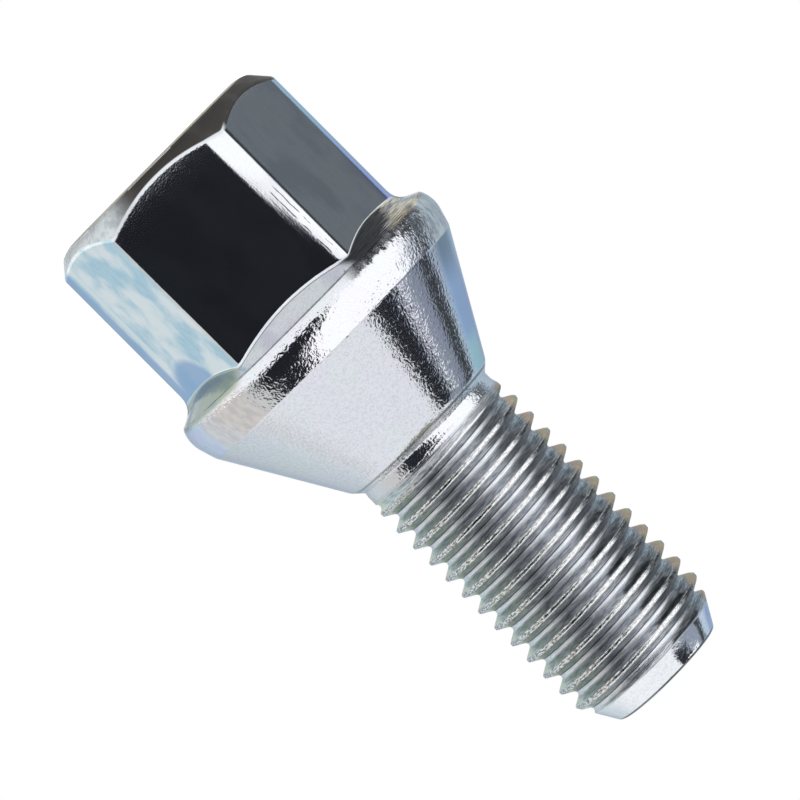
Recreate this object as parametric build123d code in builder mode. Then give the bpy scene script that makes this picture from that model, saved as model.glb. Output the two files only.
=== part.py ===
import os
from math import ceil, cos, radians, tan

from build123d import *

# A lug bolt, forged in one piece. It stands on the end of its head with its axis along Z.
# From the floor up it has a hexagon for the wheel key, a flange, the cone that centres the
# wheel, a plain neck, and a rolled right-hand thread that ends in a chamfered point.
# Sizes are in millimetres and degrees, and heights count from the end of the head.

# Hexagon
across_flats = 17.0
corner_round = 1.5
end_flat_radius = 7.62
end_chamfer_angle = 38.6

# Flange
flange_height = 12.1
flange_slope = 30.0
rim_radius = 11.19
rim_bulge = 0.44
rim_length = 3.1
rim_lower_bevel = 0.75
rim_upper_bevel = 1.3

# Conical seat
seat_angle = 60.0
seat_end_radius = 6.25
seat_end_angle = 48.0

# Neck, which keeps the size of the blank
neck_radius = 5.54
neck_length = 0.4

# Rolled thread: the dies press its groove into the blank and raise its crest above it
pitch = 1.5
thread_radius = 5.9
thread_angle = 60.0
crest_share = 0.125
depth_share = 0.573
crest_rise_length = 2.0
first_groove_height = 0.53
first_groove_turn = -120.0
shank_length = 22.35

# Point
point_radius = 4.3
point_angle = 60.0

# Head: a hexagon whose end is turned to a cone, so that every flat ends in an arc
flat_distance = across_flats / 2
hexagon_radius = flat_distance / cos(radians(30))
chamfer_height = (hexagon_radius - end_flat_radius) * tan(radians(end_chamfer_angle))
edge_radius = rim_radius - rim_bulge
rim_start = flange_height + (edge_radius - flat_distance) * tan(radians(flange_slope))
rim_end = rim_start + rim_length
with BuildPart() as lug_bolt:
    with BuildSketch() as hexagon:
        RegularPolygon(hexagon_radius, 6)
        fillet(hexagon.vertices(), corner_round)
    extrude(amount=rim_start)
    with BuildSketch(Plane.XZ):
        with BuildLine():
            Polyline(
                (0, 0),
                (end_flat_radius, 0),
                (hexagon_radius, chamfer_height),
                (hexagon_radius, rim_start),
                (0, rim_start),
                close=True,
            )
        make_face()
    revolve(axis=Axis.Z, mode=Mode.INTERSECT)

    # Flange and seat: a slope, a rim bevelled on both sides, and the cone down to the neck
    seat_end = rim_end + (edge_radius - seat_end_radius) / tan(radians(seat_angle / 2))
    neck_start = seat_end + (seat_end_radius - neck_radius) / tan(radians(seat_end_angle))
    neck_end = neck_start + neck_length
    crest_start = neck_end + crest_rise_length
    bolt_length = neck_start + shank_length
    point_slope = tan(radians(point_angle / 2))
    crest_end = bolt_length - (thread_radius - point_radius) / point_slope
    slope_apex = flange_height - flat_distance * tan(radians(flange_slope))
    with BuildSketch(Plane.XZ):
        with BuildLine():
            Polyline(
                (0, slope_apex),
                (edge_radius, rim_start),
                (rim_radius, rim_start + rim_lower_bevel),
                (rim_radius, rim_end - rim_upper_bevel),
                (edge_radius, rim_end),
                (seat_end_radius, seat_end),
                (neck_radius, neck_start),
                (neck_radius, neck_end),
                (thread_radius, crest_start),
                (thread_radius, crest_end),
                (point_radius, bolt_length),
                (0, bolt_length),
                close=True,
            )
        make_face()
    revolve(axis=Axis.Z)

# Thread groove, cut a turn at a time. Its section reaches a little outside the crest.
thread_depth = depth_share * pitch
blank_depth = thread_radius - neck_radius
flank_slope = tan(radians(thread_angle / 2))
groove_half_width = pitch * (1 - crest_share) / 2
groove_clearance = pitch / 20
groove_mouth = groove_half_width + groove_clearance * flank_slope
first_height = neck_start + first_groove_height
groove_turns = ceil((bolt_length - first_height) / pitch) + 1


def groove_section(height, depth):
    """Section of the groove through the axis, at a height and with a depth under the crest."""
    bottom = groove_half_width - depth * flank_slope
    with BuildSketch(Plane.XZ) as section:
        with BuildLine():
            Polyline(
                (thread_radius + groove_clearance, height - groove_mouth),
                (thread_radius - depth, height - bottom),
                (thread_radius - depth, height + bottom),
                (thread_radius + groove_clearance, height + groove_mouth),
                close=True,
            )
        make_face()
    return section.sketch


for turn in range(groove_turns):
    height = first_height + turn * pitch
    with BuildPart() as groove:
        with BuildLine() as climb:
            Helix(pitch, pitch, thread_radius, center=(0, 0, height))
        if turn:
            sweep(groove_section(height, thread_depth), path=climb.line, is_frenet=True)
        else:
            # The first turn runs out: it starts on the neck's surface and ends at full depth
            run_out = [groove_section(height, blank_depth), groove_section(height + pitch, thread_depth)]
            sweep(run_out, path=climb.line, multisection=True, is_frenet=True)
    with lug_bolt:
        add(groove.part, rotation=(0, 0, first_groove_turn), mode=Mode.SUBTRACT)

lug_bolt.part.label = "lug_bolt"

os.makedirs("parts", exist_ok=True)
export_step(lug_bolt.part, "parts/lug_bolt.step")
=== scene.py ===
from math import cos, pi, radians, sin, tan

import bmesh
import bpy
import numpy as np
from mathutils import Matrix, Vector


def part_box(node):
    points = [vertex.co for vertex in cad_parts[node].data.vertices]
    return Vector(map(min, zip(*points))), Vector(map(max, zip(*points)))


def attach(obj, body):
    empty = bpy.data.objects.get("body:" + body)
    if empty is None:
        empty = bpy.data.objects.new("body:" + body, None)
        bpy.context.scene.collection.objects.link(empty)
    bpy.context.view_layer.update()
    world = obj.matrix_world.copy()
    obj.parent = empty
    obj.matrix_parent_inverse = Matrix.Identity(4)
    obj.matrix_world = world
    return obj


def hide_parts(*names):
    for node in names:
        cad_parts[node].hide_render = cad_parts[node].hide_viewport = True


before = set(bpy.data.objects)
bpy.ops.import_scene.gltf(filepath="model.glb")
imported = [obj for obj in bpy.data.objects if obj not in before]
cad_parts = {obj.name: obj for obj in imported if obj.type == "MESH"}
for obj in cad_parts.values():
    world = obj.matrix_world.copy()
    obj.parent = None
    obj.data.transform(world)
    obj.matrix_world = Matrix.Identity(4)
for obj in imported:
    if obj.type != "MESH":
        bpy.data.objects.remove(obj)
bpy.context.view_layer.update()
mm = 0.001


# The bolt, head to point. It is one piece of steel: the hexagon, flange and seat are forged in
# a die, the thread is rolled between flat dies, and the whole is then plated with zinc.
# Its surface is one grid, with columns round the axis and rows from the head's end to the tip.
high_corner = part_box("lug_bolt")[1]
bolt_length = high_corner.z / mm

# Sizes are in millimetres, and heights count from the head's end. A list has one number for each
# corner of the hexagon, and a wear has one for the hexagon's end and one for its foot.
flat_distance = 8.5
corner_step, half_step = radians(60), radians(30)
corner_rounds_at_end = np.array([2.2, 1.2, 0.9, 2.1, 0.35, 0.6])
corner_rounds_at_foot = np.array([1.7, 1.0, 0.9, 2.4, 0.3, 0.55])
worn_corner = 4
worn_ridge_round, worn_side_round = 0.02, 0.015
front_wear, front_wear_lean = np.array([1.22, 0.52]), radians(8.5)
right_wear, right_wear_lean = np.array([0.72, 0.45]), radians(8)
end_flat_radius = 7.55
bevel_radius, bevel_spread, bevel_height = 7.95, 0.47, 0.25
chamfer_height, chamfer_slope = 0.68, 0.82
chamfer_off_centre = 0.1
corner_flares = np.array([0.75, 0.1, 0.08, 0.7, 0.04, 0.02])
foot_round_least = 0.2
flange_height = 12.35
flange_slope = tan(radians(30.5))
rim_start_radius, rim_start_height = 10.87, 13.57
rim_edge_radius, rim_edge_height = 11.02, 13.8
rim_crown_radius, rim_crown_height = 11.295, 14.65
seat_start_radius, seat_start_height = 10.76, 16.44
seat_end_radius, seat_end_height = 6.22, 24.3
neck_radius, neck_height = 5.54, 24.93
neck_end_height = 25.2

pitch = 1.5
crest_radius = 5.9
root_radius = 5.04
thread_half_angle = radians(30)
crest_width = 0.19
crest_edge_round, point_start_round = 0.12, 0.06
seam_half_width, seam_depth = 0.05, 0.03
first_groove_height = 26.0
groove_start_turn = -120 / 360
run_out_start, run_out_end = -0.1, 1.15
run_out_lead = 0.24
run_out_radius = neck_radius + 0.06
crest_rise_start, crest_rise_end = 0.1, 1.85
point_end_radius = 4.3
point_slope = tan(radians(30))
point_edge_round = 0.22
dent_angle, dent_height = radians(239), 46.45
dent_width, dent_depth = 1.25, 0.07

side_columns = 40
corner_columns = 14
corner_half_angle = radians(8.2)
rows_per_pitch = 18


def column_angles():
    """Angles of the columns. Each sixth of the turn starts in the middle of a corner of the
    hexagon: its first and last columns are packed into the corner, and the rest are even."""
    half = corner_columns // 2
    packed = np.linspace(0, corner_half_angle, half + 1)
    even_columns = side_columns - corner_columns
    even = np.linspace(corner_half_angle, corner_step - corner_half_angle, even_columns + 1)
    sixth = np.concatenate([packed[:-1], even[:-1], corner_step - packed[:0:-1]])
    return np.append((sixth + corner_step * np.arange(6)[:, None]).ravel(), 2 * pi)


def hexagon_radius(angle, corner_rounds):
    """Distance from the axis to a hexagon with rounded corners: a straight side, and within
    reach of a corner the far side of a circle that touches both sides."""
    nearest = np.round(angle / corner_step).astype(int)
    corner_round = corner_rounds[nearest % 6]
    from_corner = np.abs(angle - corner_step * nearest)
    side = flat_distance / np.cos(half_step - from_corner)
    centre = (flat_distance - corner_round) / cos(half_step)
    reach = np.maximum(corner_round**2 - (centre * np.sin(from_corner)) ** 2, 0)
    corner = centre * np.cos(from_corner) + np.sqrt(reach)
    touch = half_step - np.arctan((flat_distance - corner_round) * tan(half_step) / flat_distance)
    return np.where(from_corner < touch, corner, side)


def worn_facet(angle, flat, reach, lean):
    """Distance from the axis to a worn facet on the corner: the plane that leaves a flat, counted
    to the left or right of the corner as -1 or 1, a reach short of it and leans in by an angle.
    On the far side of the axis, where the plane never comes, the distance is only kept large."""
    flat_angle = corner_step * worn_corner - flat * half_step
    distance = flat_distance * cos(lean) + (flat_distance * tan(half_step) - reach) * sin(lean)
    return distance / np.maximum(np.cos(angle - flat_angle - flat * lean), 0.3)


def worn_hexagon(angle, corner_rounds, place):
    """The hexagon's distance from the axis, cut by the two worn facets at its end or foot."""
    whole = hexagon_radius(angle, corner_rounds)
    front_facet = worn_facet(angle, -1, front_wear[place], front_wear_lean)
    right_facet = worn_facet(angle, 1, right_wear[place], right_wear_lean)
    worn = smooth_least(front_facet, right_facet, worn_ridge_round)
    return smooth_least(whole, worn, worn_side_round)


def rounded_rows(corners):
    """Rows down a profile. A corner is (radius, height, setback, arc rows, run rows): its arc is
    a parabola that starts and ends a setback away from it, and the straight run that follows
    has rows set closer together towards its ends. The first three may differ by column."""
    points = [
        np.stack(np.broadcast_arrays(radius, height + 0 * angles), -1)
        for radius, height, *_ in corners
    ]
    starts, ends = [points[0]], [points[0]]
    for before, here, after, corner in zip(points, points[1:], points[2:], corners[1:]):
        back, ahead = before - here, after - here
        setback = (corner[2] + 0 * angles)[:, None]
        starts.append(here + setback * back / np.linalg.norm(back, axis=-1, keepdims=True))
        ends.append(here + setback * ahead / np.linalg.norm(ahead, axis=-1, keepdims=True))
    starts.append(points[-1])
    ends.append(points[-1])
    rows = []
    for here, start, end, following, corner in zip(points, starts, ends, starts[1:] + [None], corners):
        for share in np.linspace(0, 1, corner[3]):
            rows.append((1 - share) ** 2 * start + 2 * share * (1 - share) * here + share**2 * end)
        for share in (1 - np.cos(pi * np.arange(1, corner[4] + 1) / (corner[4] + 1))) / 2:
            rows.append(end + share * (following - end))
    return np.array(rows)


def smooth_step(low, high, value):
    """Goes from 0 at low to 1 at high, level at both. Low may be the greater of the two."""
    share = np.clip((value - low) / (high - low), 0, 1)
    return share * share * (3 - 2 * share)


def smooth_least(first, second, blend):
    """The lesser of two values, with the crease between them rounded over a width of blend."""
    near = np.maximum(blend - np.abs(first - second), 0) / blend
    return np.minimum(first, second) - near**2 * blend / 4


def groove_radius(angle, height, below):
    """Distance from the axis to the groove that starts below a point, or to the next one up.
    Its flanks lean 30 degrees and end on a round root. It deepens over its first turn, where
    the blank's metal also leads it a little up the neck."""
    turns = (height - first_groove_height) / pitch - angle / (2 * pi)
    nearest = np.floor(turns) + (0 if below else 1)
    along = nearest + angle / (2 * pi) - groove_start_turn
    lead = run_out_lead * smooth_step(0.9, 0.3, along)
    aside = np.abs((turns - nearest) * pitch - lead)
    half_mouth = (pitch - crest_width) / 2
    root_round = half_mouth / tan(thread_half_angle) - (crest_radius - root_radius)
    on_arc = aside < root_round * cos(thread_half_angle)
    arc = root_round - np.sqrt(np.maximum(root_round**2 - aside**2, 0))
    flank = aside / tan(thread_half_angle) - root_round
    depth = smooth_step(run_out_start, run_out_end, along)
    root = run_out_radius - (run_out_radius - root_radius) * depth
    return np.where(along < run_out_start, crest_radius + 1, root + np.where(on_arc, arc, flank))


def shank_radius(angle, height):
    """Distance from the axis to the thread: the crest, cut by the grooves below and above it and
    by the point's cone. The crest rises out of the neck over its first turns, beside the groove
    that pushes it up, and a shallow seam runs along its middle."""
    turns = (height - first_groove_height) / pitch - angle / (2 * pi)
    along = np.floor(turns) + angle / (2 * pi) - groove_start_turn
    to_next = (1 - turns % 1) * pitch
    swell = np.clip((along + 1 - crest_rise_start) / (crest_rise_end - crest_rise_start), 0, 1)
    beside = np.maximum(smooth_step(1.4, 0.6, to_next), smooth_step(-0.1, 0.3, along))
    crest = neck_radius + (crest_radius - neck_radius) * swell * beside
    seam = np.clip(1 - np.abs(to_next - pitch / 2) / seam_half_width, 0, 1) * smooth_step(0.6, 1.2, along)
    crest = crest - seam_depth * seam
    groove = np.minimum(groove_radius(angle, height, True), groove_radius(angle, height, False))
    cone = point_end_radius + (bolt_length - height) * point_slope
    grooved = smooth_least(crest, groove, crest_edge_round)
    return smooth_least(grooved, cone, point_start_round)


angles = column_angles()
end_hexagon = worn_hexagon(angles, corner_rounds_at_end, 0)
foot_hexagon = worn_hexagon(angles, corner_rounds_at_foot, 1)
past_flat = end_hexagon - flat_distance
chamfer_shift = chamfer_off_centre * np.cos(angles)
nearest_flare = corner_flares[np.round(angles / corner_step).astype(int) % 6]
foot_round = foot_round_least + nearest_flare * (foot_hexagon - flat_distance)
foot_height = flange_height + (foot_hexagon - flat_distance) * flange_slope
head_rows = rounded_rows([
    (0.0, 0.0, 0.0, 1, 2),
    (end_flat_radius + chamfer_shift, 0.0, 0.3, 4, 1),
    (bevel_radius + bevel_spread * past_flat + chamfer_shift, bevel_height, 0.3, 4, 3),
    (end_hexagon, chamfer_height + chamfer_slope * past_flat - chamfer_shift, 0.12, 5, 12),
    (foot_hexagon, foot_height, foot_round, 6, 3),
    (rim_start_radius, rim_start_height, 0.06, 4, 0),
    (rim_edge_radius, rim_edge_height, 0.12, 4, 0),
    (rim_crown_radius, rim_crown_height, 0.75, 9, 2),
    (seat_start_radius, seat_start_height, 0.12, 4, 9),
    (seat_end_radius, seat_end_height, 0.15, 3, 2),
    (neck_radius, neck_height, 0.12, 4, 0),
    (neck_radius, neck_end_height, 0.0, 0, 0),
])
head_radius, head_height = head_rows[..., 0], head_rows[..., 1]

turn_count = int((bolt_length - neck_end_height) / pitch) + 3
row_steps = np.arange(turn_count * rows_per_pitch + 1) / rows_per_pitch
groove_phase = (first_groove_height - neck_end_height) / pitch % 1
thread_height = neck_end_height + pitch * (row_steps[:, None] - 2 + groove_phase + angles / (2 * pi))
thread_height = np.clip(thread_height, neck_end_height, bolt_length - point_edge_round)
thread_radius = shank_radius(angles, thread_height)

tip_rows = rounded_rows([
    (point_end_radius + point_edge_round * point_slope, bolt_length - point_edge_round, 0.0, 0, 0),
    (point_end_radius, bolt_length, 0.2, 5, 3),
    (0.0, bolt_length, 0.0, 1, 0),
])

radius = np.concatenate([head_radius, thread_radius, tip_rows[..., 0]])
height = np.concatenate([head_height, thread_height, tip_rows[..., 1]])
dent_aside = (angles - dent_angle) * point_end_radius / dent_width
dent_above = (height - dent_height) / dent_width
dent = dent_depth * smooth_step(1, 0, dent_aside**2 + dent_above**2)
radius = radius - dent * smooth_step(bolt_length, bolt_length - 0.3, height)
points = np.stack([radius * np.cos(angles), radius * np.sin(angles), height], -1)

rows, columns = radius.shape
grid = np.arange(rows * columns).reshape(rows, columns)
quads = np.stack([grid[:-1, :-1], grid[:-1, 1:], grid[1:, 1:], grid[1:, :-1]], -1).reshape(-1, 4)

bolt_mesh = bpy.data.meshes.new("lug_bolt_surface")
bolt_mesh.from_pydata(points.reshape(-1, 3) * mm, [], quads)
work = bmesh.new()
work.from_mesh(bolt_mesh)
bmesh.ops.remove_doubles(work, verts=work.verts, dist=0.002 * mm)
bmesh.ops.dissolve_degenerate(work, edges=work.edges, dist=0.001 * mm)
bmesh.ops.recalc_face_normals(work, faces=work.faces)
work.to_mesh(bolt_mesh)
work.free()
bolt_mesh.shade_smooth()

bolt = bpy.data.objects.new("bolt", bolt_mesh)
bpy.context.scene.collection.objects.link(bolt)
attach(bolt, "root")
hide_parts("lug_bolt")


# The finish: bright zinc, passivated to a faint blue. The smooth faces keep the dies' polish, the
# flange and seat are hammered by the forging, and the thread is rough and dull from rolling.
# Its stains, and the shade and highlights painted into its colour, are placed by the angle from the front,
# the side that faces the camera.
front = radians(-92.8)


def math_node(tree, operation, *values):
    """A Math node whose inputs are numbers or the outputs of other nodes."""
    node = tree.nodes.new("ShaderNodeMath")
    node.operation = operation
    for socket, value in zip(node.inputs, values):
        if isinstance(value, (int, float)):
            socket.default_value = value
        else:
            tree.links.new(value, socket)
    return node.outputs[0]


def ramp_node(tree, value, low, high):
    """Goes smoothly from 0 at low to 1 at high. Low may be the greater of the two."""
    node = tree.nodes.new("ShaderNodeMapRange")
    node.interpolation_type = "SMOOTHSTEP"
    tree.links.new(value, node.inputs["Value"])
    first, last = (low, high) if low < high else (high, low)
    node.inputs["From Min"].default_value = first
    node.inputs["From Max"].default_value = last
    node.inputs["To Min"].default_value = 0 if low < high else 1
    node.inputs["To Max"].default_value = 1 if low < high else 0
    return node.outputs["Result"]


def noise_node(tree, place, size, stretch=(1, 1, 1), detail=2, rough=0.5):
    """Noise of a grain size in millimetres, stretched along the axes. It keeps within 0 and 1."""
    scaled = tree.nodes.new("ShaderNodeVectorMath")
    scaled.operation = "MULTIPLY"
    scaled.inputs[1].default_value = [1 / (size * share) for share in stretch]
    tree.links.new(place, scaled.inputs[0])
    node = tree.nodes.new("ShaderNodeTexNoise")
    node.inputs["Scale"].default_value = 1
    node.inputs["Detail"].default_value = detail
    node.inputs["Roughness"].default_value = rough
    tree.links.new(scaled.outputs[0], node.inputs["Vector"])
    return node.outputs[0]


def mix_colour(tree, share, first, second):
    """Blends two colours, each a plain colour or the output of another node."""
    node = tree.nodes.new("ShaderNodeMix")
    node.data_type = "RGBA"
    for socket, value in ((node.inputs[0], share), (node.inputs[6], first), (node.inputs[7], second)):
        if isinstance(value, (int, float)):
            socket.default_value = value
        elif isinstance(value, tuple):
            socket.default_value = (*value, 1)
        else:
            tree.links.new(value, socket)
    return node.outputs[2]


def all_of(tree, *masks):
    """Where several masks meet: their product."""
    product = masks[0]
    for mask in masks[1:]:
        product = math_node(tree, "MULTIPLY", product, mask)
    return product


def places_group():
    """Splits the bolt into its faces. Each mask is 1 on its own face and 0 off it, from the
    height above the floor and the distance from the axis, in millimetres, and from how far a
    face looks down. End edge takes in the whole end too, with its disc. Turn is the angle round
    the axis in degrees, from -180 to 180 and 0 on the front, and Side the distance to the right
    of the axis. Across goes from 0 on the middle of the thread's groove to 1 on the next, and
    Groove place has its first two coordinates across and along the thread."""
    tree = bpy.data.node_groups.new("bolt_places", "ShaderNodeTree")
    for name in ("Place", "Groove place"):
        tree.interface.new_socket(name, in_out="OUTPUT", socket_type="NodeSocketVector")
    names = ("Height", "Radius", "Turn", "Side", "Across", "End", "End edge", "Hexagon", "Foot line",
             "Slope", "Rim", "Seat", "Neck", "Thread", "Crest", "Root", "Point")
    for name in names:
        tree.interface.new_socket(name, in_out="OUTPUT", socket_type="NodeSocketFloat")
    put = tree.nodes.new("NodeGroupOutput").inputs
    place = tree.nodes.new("ShaderNodeTexCoord")
    scaled = tree.nodes.new("ShaderNodeVectorMath")
    scaled.operation = "SCALE"
    scaled.inputs["Scale"].default_value = 1 / mm
    tree.links.new(place.outputs["Object"], scaled.inputs[0])
    turned = tree.nodes.new("ShaderNodeVectorRotate")
    turned.rotation_type = "Z_AXIS"
    turned.inputs["Angle"].default_value = -front
    tree.links.new(scaled.outputs[0], turned.inputs["Vector"])
    parts = tree.nodes.new("ShaderNodeSeparateXYZ")
    tree.links.new(turned.outputs[0], parts.inputs[0])
    forth, left, height = parts.outputs
    side = math_node(tree, "MULTIPLY", left, -1.0)
    squares = [math_node(tree, "MULTIPLY", part, part) for part in (forth, side)]
    radius = math_node(tree, "SQRT", math_node(tree, "ADD", *squares))
    turn = math_node(tree, "DEGREES", math_node(tree, "ARCTAN2", side, forth))

    groove_start = first_groove_height / pitch + front / (2 * pi)
    climbed = math_node(tree, "MULTIPLY_ADD", turn, 1 / 360, -groove_start)
    risen = math_node(tree, "MULTIPLY", height, 1 / pitch)
    across = math_node(tree, "FRACT", math_node(tree, "ADD", risen, climbed))
    along = math_node(tree, "MULTIPLY", math_node(tree, "SUBTRACT", risen, across), 2 * pi * crest_radius)
    groove_place = tree.nodes.new("ShaderNodeCombineXYZ")
    tree.links.new(math_node(tree, "MULTIPLY", across, pitch), groove_place.inputs["X"])
    tree.links.new(along, groove_place.inputs["Y"])

    facing = tree.nodes.new("ShaderNodeSeparateXYZ")
    tree.links.new(place.outputs["Normal"], facing.inputs[0])
    upward = facing.outputs["Z"]
    under = ramp_node(tree, upward, -0.25, -0.6)
    at_end = ramp_node(tree, height, 4, 3)
    point = all_of(tree, ramp_node(tree, height, 45.55, 45.75), ramp_node(tree, radius, 5.4, 5.15))
    thread = all_of(tree, ramp_node(tree, height, 25.6, 26.1), ramp_node(tree, point, 1, 0))
    made = {
        "Place": scaled.outputs[0], "Groove place": groove_place.outputs[0],
        "Height": height, "Radius": radius, "Turn": turn, "Side": side, "Across": across,
        "Thread": thread, "Point": point,
        "End": all_of(tree, under, at_end),
        "End edge": all_of(tree, ramp_node(tree, upward, -0.002, -0.012), at_end),
        "Foot line": all_of(tree, ramp_node(tree, upward, -0.68, -0.74),
                            ramp_node(tree, upward, -0.85, -0.83),
                            ramp_node(tree, height, 10, 11), ramp_node(tree, radius, 10.2, 10)),
        "Hexagon": all_of(tree, ramp_node(tree, under, 1, 0), ramp_node(tree, radius, 10.2, 10),
                          ramp_node(tree, height, 13.1, 12.9)),
        "Slope": all_of(tree, under, ramp_node(tree, height, 10, 11)),
        "Rim": all_of(tree, ramp_node(tree, height, 13.5, 13.56), ramp_node(tree, height, 16.55, 16.4)),
        "Seat": all_of(tree, ramp_node(tree, height, 16.4, 16.55), ramp_node(tree, height, 24.5, 24.2)),
        "Neck": all_of(tree, ramp_node(tree, height, 24.2, 24.5), ramp_node(tree, height, 26.1, 25.6)),
        "Crest": all_of(tree, thread, ramp_node(tree, radius, 5.66, 5.8)),
        "Root": all_of(tree, thread, ramp_node(tree, radius, 5.2, 5.1)),
    }
    for name, value in made.items():
        tree.links.new(value, put[name])
    return tree


def ridges_node(tree, noise):
    """Folds a noise about its middle, so that it has sharp creases: 0 in a crease, 1 far off."""
    folded = math_node(tree, "ABSOLUTE", math_node(tree, "SUBTRACT", noise, 0.5))
    return math_node(tree, "MULTIPLY", folded, 5.0)


def relief_group():
    """Height of the surface's fine relief in millimetres: hammer marks and peel on the rim and
    seat, with faint turning rings, upright grinding lines on the hexagon, and torn, grainy
    metal drawn out along the thread."""
    tree = bpy.data.node_groups.new("zinc_relief", "ShaderNodeTree")
    tree.interface.new_socket("Relief", in_out="OUTPUT", socket_type="NodeSocketFloat")
    put = tree.nodes.new("NodeGroupOutput").inputs
    there = tree.nodes.new("ShaderNodeGroup")
    there.node_tree = bpy.data.node_groups["bolt_places"]
    at = there.outputs
    place, along_thread = at["Place"], at["Groove place"]
    hammer = noise_node(tree, place, 0.4, detail=3, rough=0.6)
    pecks = ridges_node(tree, noise_node(tree, place, 0.34, detail=1))
    peel = noise_node(tree, place, 0.12)
    swell = noise_node(tree, place, 1.6, detail=1)
    rings = noise_node(tree, place, 0.12, stretch=(22, 22, 1))
    lines = noise_node(tree, place, 0.09, stretch=(1, 1, 16))
    torn = noise_node(tree, along_thread, 0.09, stretch=(1, 3.5, 1), detail=3, rough=0.7)
    rolled = noise_node(tree, along_thread, 0.22, stretch=(1, 14, 1))
    drawn = noise_node(tree, along_thread, 0.07, stretch=(1, 26, 1), detail=3, rough=0.7)
    layers = [
        (hammer, 0.026, at["Rim"]),
        (pecks, 0.01, at["Rim"]),
        (swell, 0.03, at["Rim"]),
        (hammer, 0.009, at["Seat"]),
        (pecks, 0.0055, at["Seat"]),
        (swell, 0.012, at["Seat"]),
        (rings, 0.003, at["Seat"]),
        (hammer, 0.034, at["Neck"]),
        (pecks, 0.012, at["Neck"]),
        (rings, 0.004, at["Neck"]),
        (hammer, 0.012, at["Slope"]),
        (hammer, 0.02, at["Point"]),
        (lines, 0.0015, at["Hexagon"]),
        (drawn, 0.018, at["Thread"]),
        (rolled, 0.02, at["Thread"]),
        (torn, 0.006, at["Thread"]),
        (torn, 0.013, at["Crest"]),
    ]
    total = part_of(tree, peel, 0.0025)
    for noise, depth, face in layers:
        total = math_node(tree, "ADD", total, all_of(tree, noise, depth, face))
    tree.links.new(total, put["Relief"])
    return tree


def between(tree, value, low, high, edge):
    """Band that is 1 between two limits and 0 outside, soft over the width of an edge."""
    return all_of(tree, ramp_node(tree, value, low - edge / 2, low + edge / 2),
                  ramp_node(tree, value, high + edge / 2, high - edge / 2))


def part_of(tree, mask, share):
    """A mask weakened to a share of itself."""
    return math_node(tree, "MULTIPLY", mask, share)


def grain_node(tree, place, size, low, high, **form):
    """Noise sharpened into patches: 0 where it is under low and 1 where it is over high."""
    return ramp_node(tree, noise_node(tree, place, size, **form), low, high)


def lay(tree, colour, mask, grain, first, second):
    """Lays a colour over another where a mask is 1. It goes from first to second by a grain."""
    return mix_colour(tree, mask, colour, mix_colour(tree, grain, first, second))


def zinc_grains(tree, at):
    """The noises that mix the tones: broad clouds and banks, wisps, smears, a fine mottle and
    frost, upright brushing, and specks and drawn lines that follow the thread."""
    place, along_thread = at["Place"], at["Groove place"]
    upright = (1, 1, 14)
    short_run, long_run = (1, 4, 1), (1, 13, 1)
    return {
        "clouds": grain_node(tree, place, 3.2, 0.44, 0.62, stretch=(1, 1, 1.6), detail=3),
        "banks": grain_node(tree, place, 4.5, 0.47, 0.58, stretch=(1, 1, 1.3)),
        "wisps": grain_node(tree, place, 2.1, 0.38, 0.62, stretch=(1, 1, 1.3), detail=3),
        "smears": grain_node(tree, place, 0.5, 0.35, 0.65, stretch=(1, 1, 2), rough=0.6),
        "mottle": part_of(tree, grain_node(tree, place, 0.2, 0.45, 0.62, detail=3, rough=0.7), 0.26),
        "frost": noise_node(tree, place, 0.1, rough=0.7),
        "brushed": grain_node(tree, place, 0.12, 0.35, 0.65, stretch=upright, detail=3, rough=0.7),
        "specks": grain_node(tree, along_thread, 0.09, 0.43, 0.58, stretch=short_run, detail=3, rough=0.7),
        "drawn": grain_node(tree, along_thread, 0.08, 0.4, 0.6, stretch=long_run, detail=3, rough=0.7),
    }


def plain_tone(tree, at, grains):
    """Nearly white zinc, clouded and frosted, and mottled on the seat and the slope."""
    cool_white, warm_white = (0.79, 0.81, 0.82), (0.8, 0.79, 0.83)
    frost_grey, mottle_grey = (0.5, 0.52, 0.56), (0.46, 0.49, 0.53)
    colour = mix_colour(tree, grains["clouds"], cool_white, warm_white)
    frosted = part_of(tree, ramp_node(tree, grains["frost"], 0.42, 0.62), 0.16)
    colour = mix_colour(tree, frosted, colour, frost_grey)
    forged = math_node(tree, "MAXIMUM", at["Seat"], at["Slope"])
    return mix_colour(tree, all_of(tree, forged, grains["mottle"]), colour, mottle_grey)


def seat_and_rim_tone(tree, at, grains, colour):
    """Seat blued on its right side, from dark at the rim over violet to teal at the neck. Rim lavender and
    pinkish on its left side, and mottled grey and beige on its right."""
    turn, height, rim, smears = at["Turn"], at["Height"], at["Rim"], grains["smears"]
    blue, teal, slate = (0.42, 0.54, 0.74), (0.5, 0.72, 0.74), (0.26, 0.32, 0.39)
    sky, violet = (0.38, 0.54, 0.7), (0.34, 0.38, 0.78)
    stain = mix_colour(tree, ramp_node(tree, height, 21.8, 23), blue, teal)
    stain = mix_colour(tree, ramp_node(tree, height, 19.5, 17), stain, slate)
    far_right = ramp_node(tree, turn, 70, 78)
    stain = lay(tree, stain, far_right, between(tree, height, 19, 22.4, 3), sky, violet)
    blued = all_of(tree, at["Seat"], ramp_node(tree, turn, 51, 61), ramp_node(tree, turn, 130, 92))
    colour = mix_colour(tree, blued, colour, stain)

    lavender = all_of(tree, rim, between(tree, turn, -110, -62, 8))
    colour = lay(tree, colour, lavender, smears, (0.66, 0.82, 0.9), (0.72, 0.7, 0.95))
    pinkish = all_of(tree, rim, between(tree, turn, -62, -34, 8))
    colour = lay(tree, colour, pinkish, smears, (0.84, 0.8, 0.78), (0.7, 0.68, 0.69))
    grey_beige_right = all_of(tree, rim, ramp_node(tree, turn, 53, 59), ramp_node(tree, turn, 130, 88))
    return lay(tree, colour, grey_beige_right, smears, (0.82, 0.79, 0.73), (0.46, 0.47, 0.49))


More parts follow.
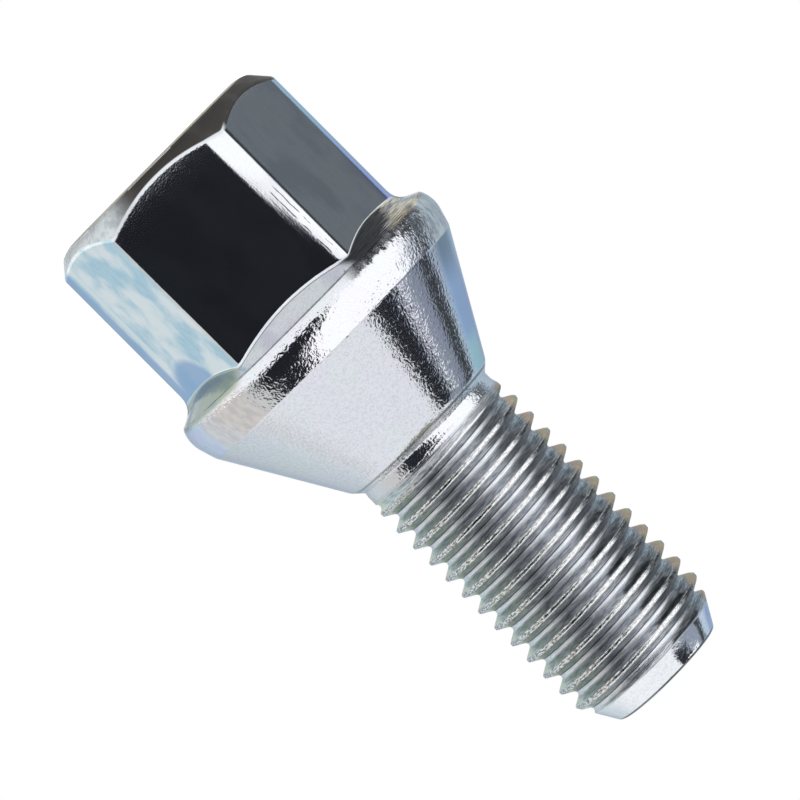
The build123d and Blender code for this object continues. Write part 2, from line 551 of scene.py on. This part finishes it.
def hexagon_tone(tree, at, grains, colour):
    """One flat clouded cyan and white, with blue at its far edge and in an oval at its foot. The flats to its
    right are dimmed and brushed, with a violet edge, two thin lines of painted shade down the worn corner's
    ridges, and painted shade in a dark line along their foot."""
    turn, height, hexagon, smears = at["Turn"], at["Height"], at["Hexagon"], grains["smears"]

    def off_centre(value, centre, reach):
        """Square of the distance from a centre, counted in reaches."""
        distance = math_node(tree, "MULTIPLY_ADD", value, 1 / reach, -centre / reach)
        return math_node(tree, "POWER", distance, 2.0)

    stain = mix_colour(tree, grains["wisps"], (0.5, 0.7, 0.79), (0.9, 0.93, 0.91))
    stain = mix_colour(tree, part_of(tree, smears, 0.22), stain, (0.86, 0.92, 0.94))
    oval = math_node(tree, "ADD", off_centre(turn, -70, 16), off_centre(height, 12.3, 2.2))
    oval = ramp_node(tree, oval, 1.25, 0.6)
    blue_parts = math_node(tree, "MAXIMUM", oval, ramp_node(tree, turn, -82, -85))
    stain = mix_colour(tree, part_of(tree, blue_parts, 0.85), stain, (0.33, 0.49, 0.72))
    pale_streak = all_of(tree, between(tree, turn, -81.5, -78.5, 1.5), ramp_node(tree, height, 10.5, 9.5))
    stain = mix_colour(tree, part_of(tree, pale_streak, 0.8), stain, (0.9, 0.93, 0.9))
    stained_flat = all_of(tree, hexagon, between(tree, turn, -93, -33, 2))
    colour = mix_colour(tree, stained_flat, colour, stain)

    dimmed = all_of(tree, hexagon, grains["clouds"], between(tree, turn, -31.5, 147, 3))
    colour = mix_colour(tree, part_of(tree, dimmed, 0.4), colour, (0.46, 0.5, 0.55))
    brushed = all_of(tree, hexagon, between(tree, turn, 29.5, 147, 4), grains["brushed"])
    colour = mix_colour(tree, part_of(tree, brushed, 0.22), colour, (0.6, 0.58, 0.56))
    leaning_turn = math_node(tree, "MULTIPLY_ADD", height, 0.3, turn)
    far_edge = all_of(tree, hexagon, ramp_node(tree, leaning_turn, 81.5, 83), ramp_node(tree, turn, 106, 87))
    cyan, violet = (0.5, 0.68, 0.78), (0.49, 0.53, 0.81)
    colour = lay(tree, colour, far_edge, ramp_node(tree, height, 4, 11), cyan, violet)

    # Painted shade: two thin dark lines down the worn corner's ridges, where they reflect dark.
    shaken_turn = math_node(tree, "MULTIPLY_ADD", noise_node(tree, at["Place"], 0.7), 0.9, turn)
    left_ridge_shade = between(tree, shaken_turn, 24.8, 25.2, 0.2)
    right_ridge_shade = between(tree, shaken_turn, 26.9, 27.2, 0.2)
    ridge_shade_lines = all_of(tree, hexagon, math_node(tree, "MAXIMUM", left_ridge_shade, right_ridge_shade),
                    between(tree, height, 6.5, 12.1, 0.3), ramp_node(tree, smears, 0.9, 0.3))
    colour = mix_colour(tree, ridge_shade_lines, colour, (0.05, 0.05, 0.06))
    # Painted shade in the crease along the hexagon's foot.
    return mix_colour(tree, part_of(tree, at["Foot line"], 0.75), colour, (0.08, 0.085, 0.09))


def end_tone(tree, at, grains, colour):
    """Grey end with painted shade, as dark reflections, on the right of its bevel and on the edge above it,
    and a pale beige line where it touches the floor. The painted shade of the edge runs on over the end's
    disc, to the axis. Gives the colour, and the mask of the painted shade."""
    turn = at["Turn"]
    bevel = all_of(tree, at["End"], ramp_node(tree, at["Radius"], 7.15, 7.3))
    # Painted shade: the right of the bevel and of the end's edge are darkened as dark reflections.
    bevel_part = all_of(tree, bevel, ramp_node(tree, turn, -34, -16), ramp_node(tree, turn, 125, 82))
    edge_part = all_of(tree, at["End edge"], between(tree, turn, 31, 85, 5))
    painted_end_shade = math_node(tree, "MAXIMUM", bevel_part, edge_part)
    colour = lay(tree, colour, at["End"], grains["smears"], (0.68, 0.71, 0.72), (0.5, 0.54, 0.57))
    colour = lay(tree, colour, painted_end_shade, grains["clouds"], (0.075, 0.072, 0.068), (0.12, 0.115, 0.108))
    at_floor = ramp_node(tree, at["Height"], 0.16, 0.08)
    pale_edge_line = all_of(tree, at_floor, ramp_node(tree, at["Radius"], 7.1, 7.2))
    return mix_colour(tree, pale_edge_line, colour, (0.66, 0.63, 0.56)), painted_end_shade


def flange_tone(tree, at, grains, colour):
    """Painted shade: a dark line round the flange's edge and a dark band beside it on the rim. The slope is
    greenish on the left, and straw with dark streaks and painted shade on the right. Gives the colour, and
    the mask of the painted shade."""
    turn, height, slope, smears = at["Turn"], at["Height"], at["Slope"], grains["smears"]
    # Painted shade: a dark line round the flange's edge and a dark band on the rim beside it, where they
    # reflect dark.
    edge_shade_line = all_of(tree, between(tree, height, 13.555, 13.625, 0.03),
                       between(tree, turn, -36, 125, 30))
    ragged_height = math_node(tree, "MULTIPLY_ADD", smears, 0.35, height)
    rim_shade = all_of(tree, at["Rim"], ramp_node(tree, ragged_height, 14.5, 14.3),
                      between(tree, turn, 20, 62, 8), ramp_node(tree, grains["frost"], 0.78, 0.56))
    dark_parts = math_node(tree, "MAXIMUM", part_of(tree, edge_shade_line, 0.85), rim_shade)
    colour = lay(tree, colour, dark_parts, smears, (0.04, 0.04, 0.045), (0.16, 0.16, 0.17))

    mm_per_degree = 0.17
    round_place = tree.nodes.new("ShaderNodeCombineXYZ")
    tree.links.new(math_node(tree, "MULTIPLY", turn, mm_per_degree), round_place.inputs["X"])
    tree.links.new(height, round_place.inputs["Y"])
    streaks = grain_node(tree, round_place.outputs[0], 0.06, 0.4, 0.62, stretch=(26, 1, 1), detail=3)
    green = all_of(tree, slope, between(tree, turn, -125, -34, 8))
    colour = lay(tree, colour, green, grains["clouds"], (0.29, 0.37, 0.37), (0.38, 0.43, 0.33))
    straw = all_of(tree, slope, between(tree, turn, 46, 125, 10))
    colour = lay(tree, colour, straw, streaks, (0.56, 0.51, 0.36), (0.14, 0.13, 0.11))
    # Painted shade on the right of the slope, where it reflects the dark flat above it.
    streaked_height = math_node(tree, "MULTIPLY_ADD", streaks, 0.3, height)
    shade_reach = math_node(tree, "MULTIPLY_ADD", turn, 0.045, streaked_height)
    slope_shade = all_of(tree, slope, between(tree, turn, 24, 78, 5),
                        ramp_node(tree, shade_reach, 15.85, 15.5))
    colour = lay(tree, colour, slope_shade, streaks, (0.02, 0.022, 0.026), (0.06, 0.064, 0.068))
    return colour, math_node(tree, "MAXIMUM", slope_shade, rim_shade)


def neck_tone(tree, at, grains, colour):
    """A thin tarnished line where the seat ends: olive, and dark on the right."""
    seat_line = part_of(tree, between(tree, at["Height"], 24.42, 24.58, 0.06), 0.75)
    on_right = between(tree, at["Turn"], 12, 130, 16)
    return lay(tree, colour, seat_line, on_right, (0.34, 0.34, 0.26), (0.12, 0.12, 0.12))


def groove_tone(tree, at, grains, colour):
    """Dull flanks with lines drawn out by the dies, with painted light in front, bluish and greenish on the
    left, and with painted shade on the right, more of it towards the point. A fine line runs along the
    flanks, and a line of painted shade beside the root's painted highlight."""
    turn, across, thread, drawn = at["Turn"], at["Across"], at["Thread"], grains["drawn"]
    flank = mix_colour(tree, drawn, (0.28, 0.3, 0.32), (0.66, 0.69, 0.71))
    # Painted light: the flanks are lighter in front.
    lit_front = between(tree, turn, -16, 24, 24)
    flank = lay(tree, flank, lit_front, drawn, (0.34, 0.36, 0.39), (0.8, 0.82, 0.86))
    on_left = between(tree, turn, -130, -37, 14)
    bluish = all_of(tree, on_left, ramp_node(tree, across, 0.55, 0.45))
    flank = lay(tree, flank, bluish, drawn, (0.38, 0.47, 0.5), (0.68, 0.76, 0.77))
    greenish = all_of(tree, on_left, ramp_node(tree, across, 0.45, 0.55))
    flank = lay(tree, flank, greenish, drawn, (0.35, 0.38, 0.33), (0.62, 0.66, 0.57))
    # Painted shade: the flanks are darkened on the right.
    right_flank_shade = part_of(tree, between(tree, turn, 28, 46, 16), 0.55)
    flank = mix_colour(tree, right_flank_shade, flank, (0.14, 0.15, 0.16))
    # Painted shade on the right of the flanks, towards the point.
    banked_height = math_node(tree, "MULTIPLY_ADD", grains["banks"], 5.0, at["Height"])
    point_side_shade = all_of(tree, between(tree, turn, 18, 52, 5), between(tree, across, 0.22, 0.44, 0.06),
                  ramp_node(tree, banked_height, 35, 43))
    flank = lay(tree, flank, point_side_shade, drawn, (0.03, 0.033, 0.036), (0.13, 0.135, 0.14))
    colour = mix_colour(tree, thread, colour, flank)

    # Painted highlight along the root, from the left round to the front.
    root_highlight = all_of(tree, at["Root"], between(tree, turn, -140, 35, 22))
    colour = lay(tree, colour, root_highlight, drawn, (0.7, 0.74, 0.78), (0.95, 0.96, 0.98))
    broken = ramp_node(tree, grains["smears"], 0.75, 0.25)
    fine_line = all_of(tree, thread, between(tree, across, 0.655, 0.685, 0.02), broken)
    colour = mix_colour(tree, part_of(tree, fine_line, 0.6), colour, (0.12, 0.13, 0.14))
    # Painted shade: a dark line beside the root's painted highlight.
    root_shade_line = all_of(tree, thread, between(tree, across, 0.865, 0.912, 0.03),
                       between(tree, turn, -140, 43, 26))
    return mix_colour(tree, part_of(tree, root_shade_line, 0.93), colour, (0.05, 0.05, 0.06))


def crest_tone(tree, at, grains, colour):
    """Crests bright and speckled, lighter and then dark beyond the front on the right as painted light and
    shade, with a painted dark reflection on the left of the front and a painted highlight line beside it. The
    tips at the thread's left side are pale green, and those at its right side straw and pinkish with a dark
    edge: painted reflections, where the tips form the thread's outline from the front."""
    turn, across, thread, crest = at["Turn"], at["Across"], at["Thread"], at["Crest"]
    side, specks = at["Side"], grains["specks"]
    speckled = mix_colour(tree, specks, (0.95, 0.95, 0.93), (0.24, 0.24, 0.23))
    # Painted light and shade: the crests' specks are lighter just right of the front and dark further right.
    on_right = between(tree, turn, 2, 140, 12)
    speckled = lay(tree, speckled, on_right, specks, (0.97, 0.97, 0.97), (0.6, 0.6, 0.6))
    far_right = between(tree, turn, 38, 125, 8)
    speckled = lay(tree, speckled, far_right, specks, (0.4, 0.4, 0.4), (0.12, 0.12, 0.12))
    colour = mix_colour(tree, crest, colour, speckled)
    # Painted dark reflection along the crests on the left of the front.
    crest_dark_reflection = all_of(tree, crest, between(tree, turn, -38, -4, 14),
                  between(tree, across, 0.455, 0.525, 0.03), specks)
    colour = mix_colour(tree, crest_dark_reflection, colour, (0.08, 0.08, 0.08))
    # Painted highlight: a white line beside the crest, in front.
    crest_highlight_line = all_of(tree, thread, between(tree, across, 0.545, 0.585, 0.02),
                       between(tree, turn, -34, 42, 8))
    colour = mix_colour(tree, crest_highlight_line, colour, (0.97, 0.97, 0.96))

    # Painted reflections: the crest tips are tinted where they form the thread's outline from the front, with
    # painted shade along the right edge.
    left_tip_reflection = all_of(tree, thread, ramp_node(tree, side, -4.9, -5.3), ramp_node(tree, crest, 1, 0.4))
    colour = lay(tree, colour, left_tip_reflection, grains["drawn"], (0.74, 0.79, 0.66), (0.92, 0.95, 0.82))
    pinkish, straw, olive = (0.6, 0.36, 0.27), (0.62, 0.5, 0.22), (0.24, 0.25, 0.19)
    warm = mix_colour(tree, grains["smears"], pinkish, straw)
    warm = mix_colour(tree, ramp_node(tree, across, 0.54, 0.62), warm, olive)
    right_tip_reflection = all_of(tree, thread, ramp_node(tree, side, 4.95, 5.5))
    colour = mix_colour(tree, right_tip_reflection, colour, warm)
    tip_edge_shade = all_of(tree, thread, ramp_node(tree, side, 5.76, 5.84))
    return mix_colour(tree, tip_edge_shade, colour, (0.28, 0.16, 0.16))


def point_tone(tree, at, grains, colour):
    """Point bright, with its cone blued on the right and a dark line round its end."""
    point, radius = at["Point"], at["Radius"]
    colour = lay(tree, colour, point, grains["mottle"], (0.93, 0.94, 0.95), (0.6, 0.62, 0.64))
    blued = all_of(tree, point, between(tree, at["Turn"], 62, 120, 12), ramp_node(tree, radius, 4.2, 4.35))
    colour = lay(tree, colour, blued, grains["smears"], (0.5, 0.66, 0.78), (0.46, 0.48, 0.84))
    end_line = all_of(tree, between(tree, at["Height"], 47.1, 47.22, 0.06), ramp_node(tree, radius, 4.1, 4.2))
    return mix_colour(tree, end_line, colour, (0.16, 0.16, 0.16))


def tone_group():
    """Colour and roughness of the plate: plain zinc, with each face's stains, painted shade and painted
    highlights laid over it in turn, and a roughness that starts from the polish of the dies and changes on
    each face."""
    tree = bpy.data.node_groups.new("zinc_tone", "ShaderNodeTree")
    tree.interface.new_socket("Colour", in_out="OUTPUT", socket_type="NodeSocketColor")
    tree.interface.new_socket("Roughness", in_out="OUTPUT", socket_type="NodeSocketFloat")
    put = tree.nodes.new("NodeGroupOutput").inputs
    there = tree.nodes.new("ShaderNodeGroup")
    there.node_tree = bpy.data.node_groups["bolt_places"]
    at = there.outputs

    grains = zinc_grains(tree, at)
    colour = plain_tone(tree, at, grains)
    colour = seat_and_rim_tone(tree, at, grains, colour)
    colour = hexagon_tone(tree, at, grains, colour)
    colour, painted_end_shade = end_tone(tree, at, grains, colour)
    colour, flange_shade = flange_tone(tree, at, grains, colour)
    for tone in (neck_tone, groove_tone, crest_tone, point_tone):
        colour = tone(tree, at, grains, colour)
    tree.links.new(colour, put["Colour"])

    polished, rolled = 0.08, 0.3
    rough = math_node(tree, "MULTIPLY_ADD", at["Thread"], rolled, polished)
    off_hexagon = all_of(tree, grains["frost"], ramp_node(tree, at["Hexagon"], 1, 0))
    changes = [
        (at["Root"], -0.07),
        (at["Crest"], -0.2),
        # Rougher where shade is painted on the flange and the end.
        (math_node(tree, "MAXIMUM", flange_shade, painted_end_shade), 0.4),
        (at["Neck"], 0.06),
        (at["Hexagon"], -0.02),
        (off_hexagon, 0.05),
    ]
    for mask, change in changes:
        rough = math_node(tree, "MULTIPLY_ADD", mask, change, rough)
    tree.links.new(rough, put["Roughness"])
    return tree


zinc = bpy.data.materials.new("zinc_plate")
zinc.use_nodes = True
coat = zinc.node_tree
surface = coat.nodes["Principled BSDF"]
surface.inputs["Metallic"].default_value = 1
surface.inputs["Specular Tint"].default_value = (0.75, 0.75, 0.75, 1)
places_group()
tone = coat.nodes.new("ShaderNodeGroup")
tone.node_tree = tone_group()
coat.links.new(tone.outputs["Colour"], surface.inputs["Base Color"])
coat.links.new(tone.outputs["Roughness"], surface.inputs["Roughness"])
relief = coat.nodes.new("ShaderNodeGroup")
relief.node_tree = relief_group()
bump = coat.nodes.new("ShaderNodeBump")
bump.inputs["Distance"].default_value = mm
coat.links.new(relief.outputs["Relief"], bump.inputs["Height"])
coat.links.new(bump.outputs["Normal"], surface.inputs["Normal"])
bolt_mesh.materials.append(zinc)


# The floor that the bolt stands on: a plain pale sheet of card, not part of the bolt. It looks
# white to the camera and in the plate, and keeps the bolt's shadow.
floor_reach = 50 * mm
straight_glow, mirrored_glow = 0.78, 0.5
floor_corners = np.array([(-1, -1, 0), (1, -1, 0), (1, 1, 0), (-1, 1, 0)])
floor_mesh = bpy.data.meshes.new("floor")
floor_mesh.from_pydata(floor_corners * floor_reach, [], [(0, 1, 2, 3)])
floor = bpy.data.objects.new("floor", floor_mesh)
bpy.context.scene.collection.objects.link(floor)

card = bpy.data.materials.new("pale_floor")
card.use_nodes = True
sheet = card.node_tree
card_surface = sheet.nodes["Principled BSDF"]
card_surface.inputs["Base Color"].default_value = (0.85, 0.85, 0.85, 1)
card_surface.inputs["Roughness"].default_value = 1
card_surface.inputs["Specular IOR Level"].default_value = 0
card_surface.inputs["Emission Color"].default_value = (1, 1, 1, 1)
sight = sheet.nodes.new("ShaderNodeLightPath").outputs
seen_straight = math_node(sheet, "MULTIPLY", sight["Is Camera Ray"], straight_glow)
seen_in_plate = math_node(sheet, "MAXIMUM", sight["Is Glossy Ray"], sight["Is Transmission Ray"])
seen_in_plate = math_node(sheet, "MULTIPLY", seen_in_plate, mirrored_glow)
glow = math_node(sheet, "MAXIMUM", seen_straight, seen_in_plate)
sheet.links.new(glow, card_surface.inputs["Emission Strength"])
floor_mesh.materials.append(card)


# The studio: a light tent seen by its reflections in the bright plate. Its walls are soft white
# cloth, pale blue behind and faintly warm on the left, with dark gaps where the photograph was
# taken from and between the cloths. Angles count to the right from the camera's side, and up.
tent_cloth, top_cloth, warm_cloth = (0.72, 0.79, 0.84), (0.93, 0.95, 0.99), (0.72, 0.72, 0.71)
white_cloth, grey_cloth, blue_cloth = (1.25, 1.25, 1.27), (0.29, 0.33, 0.41), (0.56, 0.68, 0.8)
steel_cloth, olive_cloth = (0.17, 0.192, 0.216), (0.3, 0.31, 0.25)
dark_gap, dim_gap = (0.016, 0.018, 0.023), (0.05, 0.055, 0.06)


def soft_panel_group():
    """Mask of a panel of the tent: 1 between its two sides and between its foot and its top, and
    0 outside, soft over the width of its edge. Its sides may lean, in degrees for each degree up."""
    tree = bpy.data.node_groups.new("soft_panel", "ShaderNodeTree")
    for name in ("Azimuth", "Elevation", "Left", "Right", "Foot", "Top", "Lean left", "Lean right", "Edge"):
        tree.interface.new_socket(name, in_out="INPUT", socket_type="NodeSocketFloat")
    tree.interface.new_socket("Mask", in_out="OUTPUT", socket_type="NodeSocketFloat")
    given = tree.nodes.new("NodeGroupInput").outputs
    put = tree.nodes.new("NodeGroupOutput").inputs
    azimuth, elevation = given["Azimuth"], given["Elevation"]
    half_in = math_node(tree, "MULTIPLY", given["Edge"], 0.5)
    half_out = math_node(tree, "MULTIPLY", given["Edge"], -0.5)

    def within(low, high):
        """Goes from 0 to 1 over the edge, where the high value passes the low one."""
        share = tree.nodes.new("ShaderNodeMapRange")
        share.interpolation_type = "SMOOTHSTEP"
        tree.links.new(math_node(tree, "SUBTRACT", high, low), share.inputs["Value"])
        tree.links.new(half_out, share.inputs["From Min"])
        tree.links.new(half_in, share.inputs["From Max"])
        return share.outputs["Result"]

    left_side = math_node(tree, "MULTIPLY_ADD", elevation, given["Lean left"], given["Left"])
    right_side = math_node(tree, "MULTIPLY_ADD", elevation, given["Lean right"], given["Right"])
    wide = all_of(tree, within(left_side, azimuth), within(azimuth, right_side))
    tall = all_of(tree, within(given["Foot"], elevation), within(elevation, given["Top"]))
    tree.links.new(all_of(tree, wide, tall), put["Mask"])
    return tree


world = bpy.data.worlds.new("studio")
bpy.context.scene.world = world
world.use_nodes = True
studio = world.node_tree
direction = studio.nodes.new("ShaderNodeTexCoord")
from_front = studio.nodes.new("ShaderNodeVectorRotate")
from_front.rotation_type = "Z_AXIS"
from_front.inputs["Angle"].default_value = -front
studio.links.new(direction.outputs["Generated"], from_front.inputs["Vector"])
parts = studio.nodes.new("ShaderNodeSeparateXYZ")
studio.links.new(from_front.outputs["Vector"], parts.inputs["Vector"])
to_right = math_node(studio, "MULTIPLY", parts.outputs["Y"], -1.0)
azimuth = math_node(studio, "DEGREES", math_node(studio, "ARCTAN2", to_right, parts.outputs["X"]))
elevation = math_node(studio, "DEGREES", math_node(studio, "ARCSINE", parts.outputs["Z"]))
panel = soft_panel_group()


def hang(light, cloth, left, right, foot, top, edge, lean_left=0, lean_right=0):
    """Hangs a cloth, or leaves a gap, in front of the light so far. Its sides, foot, top and the
    softness of its edge are in degrees, and its sides lean by degrees for each degree up."""
    mask = studio.nodes.new("ShaderNodeGroup")
    mask.node_tree = panel
    studio.links.new(azimuth, mask.inputs["Azimuth"])
    studio.links.new(elevation, mask.inputs["Elevation"])
    sizes = {"Left": left, "Right": right, "Foot": foot, "Top": top, "Edge": edge}
    sizes |= {"Lean left": lean_left, "Lean right": lean_right}
    for name, value in sizes.items():
        mask.inputs[name].default_value = value
    return mix_colour(studio, mask.outputs["Mask"], light, cloth)


light = hang(tent_cloth, top_cloth, left=-181, right=181, foot=40, top=95, edge=20)
light = hang(light, warm_cloth, left=-108, right=-58, foot=-91, top=42, edge=14)
light = hang(light, blue_cloth, left=120, right=181, foot=-91, top=62, edge=8)
light = hang(light, blue_cloth, left=-181, right=-158, foot=-91, top=62, edge=20)
light = hang(light, grey_cloth, left=70, right=125, foot=26, top=62, edge=6)
light = hang(light, white_cloth, left=2, right=87, foot=-91, top=50, edge=4, lean_left=-0.65)
light = hang(light, dark_gap, left=-60, right=3, foot=-30, top=44, edge=5, lean_right=-0.65)
light = hang(light, dark_gap, left=47, right=79, foot=42, top=63, edge=5)
gap_lean = 0.38
light = hang(light, dim_gap, left=93, right=111, foot=-40, top=48, edge=5,
             lean_left=gap_lean, lean_right=gap_lean)
light = hang(light, steel_cloth, left=107, right=123, foot=-25, top=18, edge=4)
light = hang(light, olive_cloth, left=-181, right=181, foot=74, top=95, edge=12)

seen = studio.nodes.new("ShaderNodeLightPath").outputs
straight = math_node(studio, "MAXIMUM", seen["Is Camera Ray"], seen["Is Transmission Ray"])
right_behind = ramp_node(studio, parts.outputs["X"], -0.985, -0.99)
mirrored = math_node(studio, "MULTIPLY", seen["Is Glossy Ray"], right_behind)
white_share = math_node(studio, "MAXIMUM", straight, mirrored)
backdrop = mix_colour(studio, white_share, light, (1, 1, 1))
studio.links.new(backdrop, studio.nodes["Background"].inputs["Color"])


# The camera: it looks at the bolt from beside its head, and is turned about its own line of
# sight, so that the bolt lies slanting across the picture.
camera_distance = 360 * mm
camera_height = 2 * mm
aim = Vector((-0.376 * mm, 0, 22.27 * mm))
camera_turn = radians(44.745)
picture_width = 52.1 * mm
sensor_width = 36

standpoint = Vector((cos(front), sin(front), 0)) * camera_distance
standpoint.z = camera_height
forward = (aim - standpoint).normalized()
along_bolt = (Vector((0, 0, 1)) - forward * forward.z).normalized()
across_bolt = forward.cross(along_bolt)
right = along_bolt * cos(camera_turn) - across_bolt * sin(camera_turn)
up = -along_bolt * sin(camera_turn) - across_bolt * cos(camera_turn)
lens = bpy.data.cameras.new("camera")
lens.sensor_width = sensor_width
lens.lens = sensor_width * (aim - standpoint).length / picture_width
lens.clip_start = 0.01
camera = bpy.data.objects.new("camera", lens)
bpy.context.scene.collection.objects.link(camera)
pose = Matrix((right, up, -forward)).transposed().to_4x4()
pose.translation = standpoint
camera.matrix_world = pose
bpy.context.scene.camera = camera

bpy.context.scene.view_settings.view_transform = "Standard"
